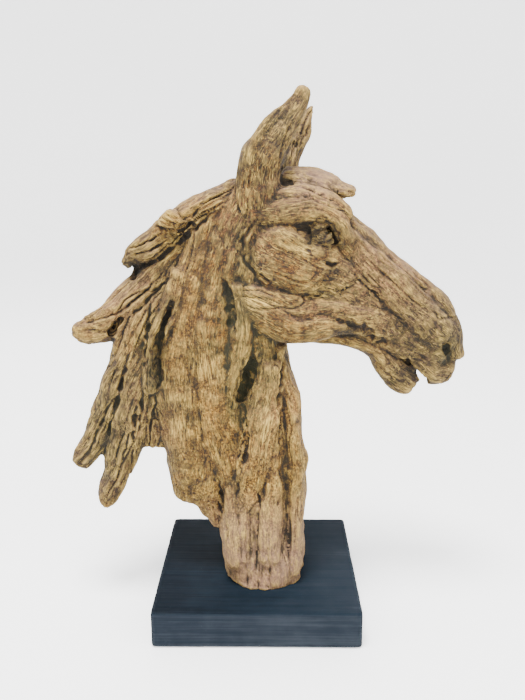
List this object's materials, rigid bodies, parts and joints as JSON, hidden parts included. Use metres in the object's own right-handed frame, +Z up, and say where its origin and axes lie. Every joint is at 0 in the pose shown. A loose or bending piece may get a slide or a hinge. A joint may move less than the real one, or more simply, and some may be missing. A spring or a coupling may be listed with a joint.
{
  "type": "horse head sculpture",
  "caption": "Horse's head and neck carved from weathered root wood, with a ragged mane of loose root ends, standing on a dark square wooden plinth.",
  "frame": {"origin": "centre of the plinth's underside", "axes": "+Z up, +X the way the horse looks, +Y the horse's left side"},
  "size_m": [0.5885, 0.3, 0.7685],
  "materials": {
    "weathered_root": "weathered bare root wood, tan and brown with dark crevices",
    "dark_paint": "matt dark slate paint with the wood grain showing"
  },
  "bodies": {
    "root": {"horse_head": "weathered_root", "plinth": "dark_paint"}
  },
  "joints": []
}
